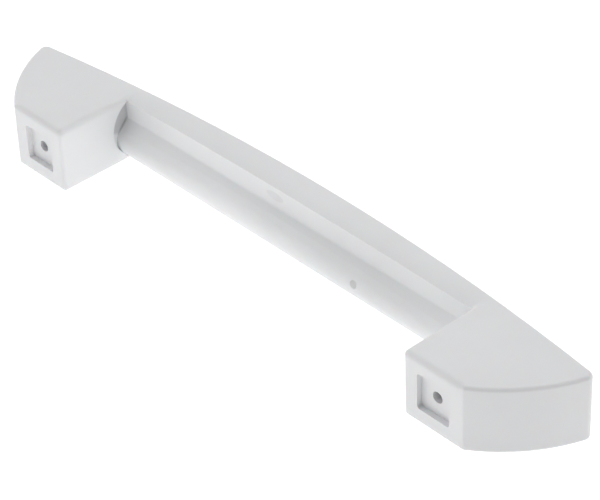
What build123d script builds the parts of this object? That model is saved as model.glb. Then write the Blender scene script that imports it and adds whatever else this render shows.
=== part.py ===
from build123d import *
from math import acos, atan2, cos, hypot, radians, sin
import os

os.makedirs("parts", exist_ok=True)

# Frame, in millimetres: X runs along the handle, Y points away from the door and Z points up, with the handle on
# its flat lower side. It is drawn from the mounting plane and then moved, so that the origin lies midway between
# the mouths of the two fixing bores.

# Overall form
fixing_pitch = 240.0
height = 31.2
bow_projection = 53.0
bow_rise = 12.39610
edge_radius = 1.6

# Feet: the end surface is one arc from the mounting face to the tip, through a point halfway
foot_face_width = 31.4
halfway_overhang = 17.5
halfway_y = 16.4
tip_overhang = 30.1
foot_tip_radius = 3.2

# Grip: a D section with a full round towards the door
round_radius = height / 2
flat_width = 8.5

# Finger recess in the upper half of the round: an upright floor, a sloping facet and a broad lobe
floor_wall = 14.4
floor_bow = 1.0
recess_depth_middle = 11.1
recess_depth_end = 10.1
corner_radius = 1.0
lobe_inset = 6.2
lobe_end_angle = 145.0
lobe_edge_step = 0.15
recess_overrun = 1.5

# Square seat and blind bore in each mounting face
seat_side = 17.0
seat_depth = 2.6
seat_corner_radius = 1.2
bore_radius = 2.6
bore_depth = 24.0

foot_inner_x = (fixing_pitch - foot_face_width) / 2
foot_outer_x = (fixing_pitch + foot_face_width) / 2
foot_end_middle = (foot_outer_x + halfway_overhang, halfway_y)
foot_end_x = foot_outer_x + tip_overhang
bow_radius = (foot_end_x**2 + bow_rise**2) / (2 * bow_rise)
bow_centre_y = bow_projection - bow_radius
bow_inner_y = bow_centre_y + (bow_radius**2 - foot_inner_x**2) ** 0.5
bow_end_y = bow_projection - bow_rise

# Directions across the grip are angles from +Z towards the door. The lobe runs out on the round at a shallow angle
round_centre_y = bow_projection - flat_width
end_direction = (-sin(radians(lobe_end_angle)), cos(radians(lobe_end_angle)))
lobe_radius = round_radius - lobe_inset
lobe_reach = lobe_inset + lobe_edge_step
lobe_centre_y = round_centre_y + lobe_reach * end_direction[0]
lobe_centre_z = lobe_reach * end_direction[1]
lobe_end = (lobe_centre_y + lobe_radius * end_direction[0], lobe_centre_z + lobe_radius * end_direction[1])
mouth_y = round_centre_y + height * end_direction[0]
mouth_z = height * end_direction[1]

# Recess sections along the grip: the facet runs from the corner at the foot of the floor and touches the lobe
recess_sections = []
for section_x, floor_y, recess_depth in [
    (-foot_inner_x, bow_projection - floor_wall - floor_bow, recess_depth_end),
    (0, bow_projection - floor_wall, recess_depth_middle),
    (foot_inner_x, bow_projection - floor_wall - floor_bow, recess_depth_end),
]:
    corner_z = height / 2 - recess_depth
    corner_distance = hypot(lobe_centre_y - floor_y, corner_z - lobe_centre_z)
    corner_angle = atan2(lobe_centre_y - floor_y, corner_z - lobe_centre_z)
    touch_angle = corner_angle + acos(lobe_radius / corner_distance)
    touch = (lobe_centre_y - lobe_radius * sin(touch_angle), lobe_centre_z + lobe_radius * cos(touch_angle))
    with BuildSketch(Plane.YZ.offset(section_x)) as section:
        with BuildLine():
            Line((floor_y, corner_z), touch)
            RadiusArc(touch, lobe_end, -lobe_radius)
            Polyline(lobe_end, (mouth_y, mouth_z), (mouth_y, height), (floor_y, height), (floor_y, corner_z))
        make_face()
        fillet(section.vertices().group_by(Axis.X)[-1].sort_by(Axis.Y)[0], radius=corner_radius)
    recess_sections.append(section.sketch)

# Space for the fingers along the grip
with BuildPart() as finger_space:
    add(recess_sections)
    loft()

# Its short ends inside the feet, no wider than the round
with BuildPart() as space_ends:
    extrude(recess_sections[-1], amount=recess_overrun, dir=(1, 0, 0))
    with Locations((foot_inner_x, round_centre_y, 0)):
        Cylinder(round_radius, 4 * recess_overrun, rotation=(0, 90, 0), mode=Mode.INTERSECT)
    mirror(about=Plane.YZ)

with BuildPart() as pull_handle:
    # Plan of both feet and the straight-sided part of the grip under the outer bow
    with BuildSketch(Plane.XY.offset(-height / 2)) as plan:
        with BuildLine():
            ThreePointArc((0, bow_projection), (foot_inner_x, bow_inner_y), (foot_end_x, bow_end_y))
            ThreePointArc((foot_end_x, bow_end_y), foot_end_middle, (foot_outer_x, 0))
            Polyline((foot_outer_x, 0), (foot_inner_x, 0), (foot_inner_x, round_centre_y), (0, round_centre_y))
            mirror(about=Plane.YZ)
        make_face()
        fillet(plan.vertices().group_by(Axis.X)[0] + plan.vertices().group_by(Axis.X)[-1], radius=foot_tip_radius)
    extrude(amount=height)

    # Full round of the grip towards the door
    with BuildSketch(Plane.YZ.offset(-foot_inner_x)):
        with Locations((round_centre_y, 0)):
            Circle(round_radius)
            Rectangle(height, height, align=(Align.MIN, Align.CENTER), mode=Mode.SUBTRACT)
    extrude(amount=2 * foot_inner_x)

    # Every outer edge, and the roots where the grip runs into the feet; the line where flat and round meet stays
    top_and_bottom = pull_handle.edges().group_by(Axis.Z)[0] + pull_handle.edges().group_by(Axis.Z)[-1]
    flat_to_round = top_and_bottom.filter_by(Axis.X).filter_by_position(Axis.Y, 1, bow_projection)
    face_corners = pull_handle.edges().filter_by(Axis.Z).filter_by_position(Axis.Y, -1, 1)
    grip_roots = pull_handle.edges().filter_by(GeomType.CIRCLE).filter_by_position(Axis.Z, -1, 1)
    fillet(top_and_bottom - flat_to_round + face_corners + grip_roots, radius=edge_radius)
    add(finger_space.part, mode=Mode.SUBTRACT)
    add(space_ends.part, mode=Mode.SUBTRACT)

    # Seats and bores in the mounting faces
    with BuildSketch(Plane.XZ):
        with GridLocations(fixing_pitch, 0, 2, 1):
            RectangleRounded(seat_side, seat_side, seat_corner_radius)
    extrude(amount=-seat_depth, mode=Mode.SUBTRACT)
    with BuildSketch(Plane.XZ.offset(-seat_depth)):
        with GridLocations(fixing_pitch, 0, 2, 1):
            Circle(bore_radius)
    extrude(amount=-bore_depth, mode=Mode.SUBTRACT)

finished = pull_handle.part.moved(Location((0, -seat_depth, 0)))
finished.label = "pull_handle"
export_step(finished, "parts/pull_handle.step")
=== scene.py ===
import math

import bpy
from mathutils import Matrix, Vector


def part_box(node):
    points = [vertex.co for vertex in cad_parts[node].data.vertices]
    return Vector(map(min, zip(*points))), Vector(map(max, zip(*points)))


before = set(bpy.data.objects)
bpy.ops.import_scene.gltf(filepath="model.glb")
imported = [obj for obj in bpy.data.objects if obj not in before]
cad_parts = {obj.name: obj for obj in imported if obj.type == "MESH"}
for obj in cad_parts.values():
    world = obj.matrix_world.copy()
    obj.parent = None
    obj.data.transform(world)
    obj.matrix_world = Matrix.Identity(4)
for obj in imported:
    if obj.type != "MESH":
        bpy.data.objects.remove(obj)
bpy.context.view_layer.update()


# The pull handle: one bowed grip and two feet, injection moulded in one piece of light grey
# satin plastic. The model's own smooth solid is shown, with a finely grained skin like the
# mould's eroded surface.
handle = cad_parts["pull_handle"]
plastic_grey = (0.785, 0.793, 0.803)
darkest_tone, lightest_tone = 0.975, 1.015
# The darker tone of the two mould marks, also used as painted shade in the recess's blind ends
mould_mark_and_shade_tone = 0.3
smoothest, roughest = 0.39, 0.47

# Noise scales are per metre, so the tone changes over centimetres and the grain is finest
tone_scale, gloss_scale, grain_scale = 28.0, 240.0, 2600.0
grain_depth = 0.0002

# Each spot has a centre and half axes in metres, its strength, and its share of the full depth
spots = (
    # A round mark of a mould pin on the lobe of the grip
    ((0.0434, 0.0290, -0.0033), (0.0019, 0.0019, 0.0019), 0.30, 1.0),
    # A longer and fainter mark on the floor of the recess
    ((-0.0101, 0.0358, 0.0100), (0.0052, 0.0024, 0.0021), 0.12, 0.35),
    # Painted shade in the two blind ends of the recess, where it runs 1.5 mm into the feet
    ((0.1058, 0.0310, 0.0065), (0.0014, 0.0070, 0.0080), 0.40, 0),
    ((-0.1058, 0.0310, 0.0065), (0.0014, 0.0070, 0.0080), 0.40, 0),
)
full_depth = 0.0003
spot_whole, spot_gone = 0.82, 1.12

# The edges above and below the mounting and inner faces look softer than the solid's own. Each
# row is an axis, and where the softer shading starts and where it is whole, from z = 0 outwards
# and from the ends and the bow inwards
soft_radius = 0.0040
soft_zone = (("Z", 0.0118, 0.0126), ("X", 0.1345, 0.1335), ("Y", 0.031, 0.027))


def add_node(tree, kind, inputs, **settings):
    """A node of a shader tree: settings are its own choices, and each named or numbered input
    gets a fixed value, or a link where that value is another node's socket."""
    node = tree.nodes.new(kind)
    for name, value in settings.items():
        setattr(node, name, value)
    for name, value in inputs.items():
        if isinstance(value, bpy.types.NodeSocket):
            tree.links.new(value, node.inputs[name])
        else:
            node.inputs[name].default_value = value
    return node


def spot_mask(tree, place, centre, half_axes):
    """1 inside an ellipsoid and 0 outside, with a soft edge: the offset from the centre is
    divided by the half axes, and its length runs from spot_whole to spot_gone."""
    offset = add_node(tree, "ShaderNodeVectorMath", {0: place, 1: centre}, operation="SUBTRACT")
    share = add_node(
        tree,
        "ShaderNodeVectorMath",
        {0: offset.outputs["Vector"], 1: half_axes},
        operation="DIVIDE",
    )
    distance = add_node(
        tree, "ShaderNodeVectorMath", {0: share.outputs["Vector"]}, operation="LENGTH"
    )
    mask = add_node(
        tree,
        "ShaderNodeMapRange",
        {"Value": distance.outputs["Value"], "From Min": spot_gone, "From Max": spot_whole},
        interpolation_type="SMOOTHSTEP",
    )
    return mask.outputs["Result"]


def soft_edge_mask(tree, place, zone):
    """1 where the softer edges are: the product of one ramp along each axis, each read from the
    size of that coordinate, so that both ends and both sides are alike."""
    axes = add_node(tree, "ShaderNodeSeparateXYZ", {"Vector": place})
    mask = None
    for axis, start, whole in zone:
        size = add_node(tree, "ShaderNodeMath", {0: axes.outputs[axis]}, operation="ABSOLUTE")
        ramp = add_node(
            tree,
            "ShaderNodeMapRange",
            {"Value": size.outputs["Value"], "From Min": start, "From Max": whole},
        ).outputs["Result"]
        if mask is None:
            mask = ramp
        else:
            mask = add_node(
                tree, "ShaderNodeMath", {0: mask, 1: ramp}, operation="MULTIPLY"
            ).outputs["Value"]
    return mask


def soft_plastic(name, tint):
    """Satin moulded plastic: a flat colour with a very slow change of tone over tens of
    millimetres, uneven gloss, the fine grain of an eroded mould as a shallow bump, softer
    edges by the shading normal of a rounding, and the spots as darker and sunk places, the two
    at the blind ends of the recess being painted shade."""
    material = bpy.data.materials.new(name)
    material.use_nodes = True
    tree = material.node_tree
    shader = tree.nodes["Principled BSDF"]
    shader.inputs["IOR"].default_value = 1.49
    shader.inputs["Subsurface Weight"].default_value = 0.12
    shader.inputs["Subsurface Scale"].default_value = 0.002
    place = tree.nodes.new("ShaderNodeTexCoord").outputs["Object"]

    # Tone
    drift = add_node(
        tree, "ShaderNodeTexNoise", {"Vector": place, "Scale": tone_scale, "Detail": 3.0}
    )
    tone = add_node(tree, "ShaderNodeValToRGB", {"Fac": drift.outputs["Fac"]})
    dark_stop, light_stop = tone.color_ramp.elements
    dark_stop.position, light_stop.position = 0.3, 0.7
    dark_stop.color = [c * darkest_tone for c in tint] + [1]
    light_stop.color = [min(1, c * lightest_tone) for c in tint] + [1]

    # Spots: each one mixes a darker tone in, and the sunk ones add to the relief
    # Darker marks of the plastic, and painted shade at the two blind ends of the recess
    mark_and_shade_colour = [c * mould_mark_and_shade_tone for c in tint] + [1]
    colour = tone.outputs["Color"]
    relief = None
    for centre, half_axes, strength, depth in spots:
        mask = spot_mask(tree, place, centre, half_axes)
        amount = add_node(tree, "ShaderNodeMath", {0: mask, 1: strength}, operation="MULTIPLY")
        colour = add_node(
            tree,
            "ShaderNodeMix",
            {"Factor": amount.outputs["Value"], "A": colour, "B": mark_and_shade_colour},
            data_type="RGBA",
        ).outputs["Result"]
        if depth:
            sunk = add_node(tree, "ShaderNodeMath", {0: mask, 1: depth}, operation="MULTIPLY")
            if relief is None:
                relief = sunk.outputs["Value"]
            else:
                relief = add_node(
                    tree, "ShaderNodeMath", {0: relief, 1: sunk.outputs["Value"]}, operation="ADD"
                ).outputs["Value"]
    tree.links.new(colour, shader.inputs["Base Color"])

    # Gloss: satin, a little uneven over a few millimetres
    gloss = add_node(
        tree, "ShaderNodeTexNoise", {"Vector": place, "Scale": gloss_scale, "Detail": 2.0}
    )
    roughness = add_node(
        tree,
        "ShaderNodeMapRange",
        {
            "Value": gloss.outputs["Fac"],
            "From Min": 0.3,
            "From Max": 0.7,
            "To Min": smoothest,
            "To Max": roughest,
        },
    )
    tree.links.new(roughness.outputs["Result"], shader.inputs["Roughness"])

    # Softer edges, then the sunk spots, then grain a few micrometres deep. The Mix node's vector
    # inputs are numbers 4 and 5, and its vector output is number 1
    own_normal = tree.nodes.new("ShaderNodeNewGeometry").outputs["Normal"]
    rounding = add_node(tree, "ShaderNodeBevel", {"Radius": soft_radius}, samples=8)
    facing = add_node(
        tree,
        "ShaderNodeMix",
        {0: soft_edge_mask(tree, place, soft_zone), 4: own_normal, 5: rounding.outputs["Normal"]},
        data_type="VECTOR",
    )
    dents = add_node(
        tree,
        "ShaderNodeBump",
        {"Strength": 0.8, "Distance": full_depth, "Height": relief, "Normal": facing.outputs[1]},
        invert=True,
    )
    grain = add_node(
        tree, "ShaderNodeTexNoise", {"Vector": place, "Scale": grain_scale, "Detail": 4.0}
    )
    pits = add_node(
        tree,
        "ShaderNodeBump",
        {
            "Strength": 0.08,
            "Distance": grain_depth,
            "Height": grain.outputs["Fac"],
            "Normal": dents.outputs["Normal"],
        },
    )
    tree.links.new(pits.outputs["Normal"], shader.inputs["Normal"])
    return material


handle.data.materials.clear()
handle.data.materials.append(soft_plastic("handle_skin", plastic_grey))


# The floor: a matt white sheet that the handle lies on, lit from below as well, so that it
# stays white up to the handle and throws light on the sides.
sheet_half_width = 6.0
sheet_white = (0.32, 0.32, 0.32, 1)
sheet_glow = 0.97


def table_sheet(half_width):
    """A flat square at the height the handle rests on: z is constant."""
    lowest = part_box("pull_handle")[0][2]
    corners = ((-1, -1), (1, -1), (1, 1), (-1, 1))
    mesh = bpy.data.meshes.new("table")
    points = [(x * half_width, y * half_width, lowest) for x, y in corners]
    mesh.from_pydata(points, [], [(0, 1, 2, 3)])
    sheet = bpy.data.objects.new("table", mesh)
    bpy.context.collection.objects.link(sheet)
    return sheet


table = table_sheet(sheet_half_width)
table_white = bpy.data.materials.new("table_white")
table_white.use_nodes = True
table_shader = table_white.node_tree.nodes["Principled BSDF"]
table_shader.inputs["Base Color"].default_value = sheet_white
table_shader.inputs["Roughness"].default_value = 0.9
table_shader.inputs["Emission Color"].default_value = (1, 1, 1, 1)
table_shader.inputs["Emission Strength"].default_value = sheet_glow
table.data.materials.append(table_white)


# The light: a white tent round the handle, brighter towards its roof. Its opening is dark, so
# the faces turned that way come out the darkest, and the cloth behind the handle is a little
# dimmer than the rest.
opening_towards = (0.635, -0.58, 0.51)
opening_edge = (54, 46)
cloth_glow, opening_glow = 0.745, 0.15
back_towards = (-0.62, 0.72, 0.31)
back_start, back_whole = 0.2, 0.9
back_glow = 0.85
roof_gain = 0.90

tent = bpy.data.worlds.new("tent")
bpy.context.scene.world = tent
tent.use_nodes = True
tent_tree = tent.node_tree
direction = tent_tree.nodes.new("ShaderNodeTexCoord").outputs["Generated"]


def tent_patch(towards, start, whole, outside, inside):
    """The glow round one direction: the cosine of the angle to it runs from start to whole,
    and the glow from outside to inside, along a smooth step."""
    cosine = add_node(
        tent_tree, "ShaderNodeVectorMath", {0: direction, 1: towards}, operation="DOT_PRODUCT"
    )
    patch = add_node(
        tent_tree,
        "ShaderNodeMapRange",
        {
            "Value": cosine.outputs["Value"],
            "From Min": start,
            "From Max": whole,
            "To Min": outside,
            "To Max": inside,
        },
        interpolation_type="SMOOTHSTEP",
    )
    return patch.outputs["Result"]


opening_start, opening_whole = (math.cos(math.radians(angle)) for angle in opening_edge)
cloth = tent_patch(opening_towards, opening_start, opening_whole, cloth_glow, opening_glow)
back = tent_patch(back_towards, back_start, back_whole, 1.0, back_glow)
height = add_node(tent_tree, "ShaderNodeSeparateXYZ", {"Vector": direction})
roof = add_node(
    tent_tree,
    "ShaderNodeMath",
    {0: height.outputs["Z"], 1: roof_gain, 2: 1.0},
    operation="MULTIPLY_ADD",
)
walls = add_node(tent_tree, "ShaderNodeMath", {0: cloth, 1: back}, operation="MULTIPLY")
glow = add_node(
    tent_tree,
    "ShaderNodeMath",
    {0: walls.outputs["Value"], 1: roof.outputs["Value"]},
    operation="MULTIPLY",
)
tent_light = tent_tree.nodes["Background"]
tent_light.inputs["Color"].default_value = (1, 1, 1, 1)
tent_tree.links.new(glow.outputs["Value"], tent_light.inputs["Strength"])

# A small lamp in front of the near foot shines along the grip, with a narrow beam, on the inner
# face of the far foot.
lamp_place = (0.09, -0.045, 0.0)
lamp_aim = Vector((-1, 0.30, 0.0))
lamp_beam = 50

fill = bpy.data.lights.new("fill", "AREA")
fill.size = 0.05
fill.energy = 0.0065
fill.spread = math.radians(lamp_beam)
fill_lamp = bpy.data.objects.new("fill", fill)
bpy.context.collection.objects.link(fill_lamp)
fill_lamp.location = lamp_place
fill_lamp.rotation_euler = lamp_aim.to_track_quat("-Z", "Y").to_euler()
fill_lamp.visible_camera = False


# The camera stands where the photograph was taken from, with the same long lens.
camera_place = (0.64485, -0.53058, 0.62508)
camera_right = Vector((0.67732, 0.73491, -0.03374))
camera_up = Vector((-0.41575, 0.42020, 0.80659))
camera_ahead = Vector((-0.60695, 0.53229, -0.59015))

view = bpy.data.cameras.new("view")
view.lens = 154.1
view.sensor_width = 36.0
view.shift_x = 0.01552
view.shift_y = -0.03203
camera = bpy.data.objects.new("view", view)
bpy.context.collection.objects.link(camera)
camera_turn = Matrix((camera_right, camera_up, -camera_ahead)).transposed().to_4x4()
camera.matrix_world = Matrix.Translation(camera_place) @ camera_turn
bpy.context.scene.camera = camera
bpy.context.scene.view_settings.view_transform = "Standard"
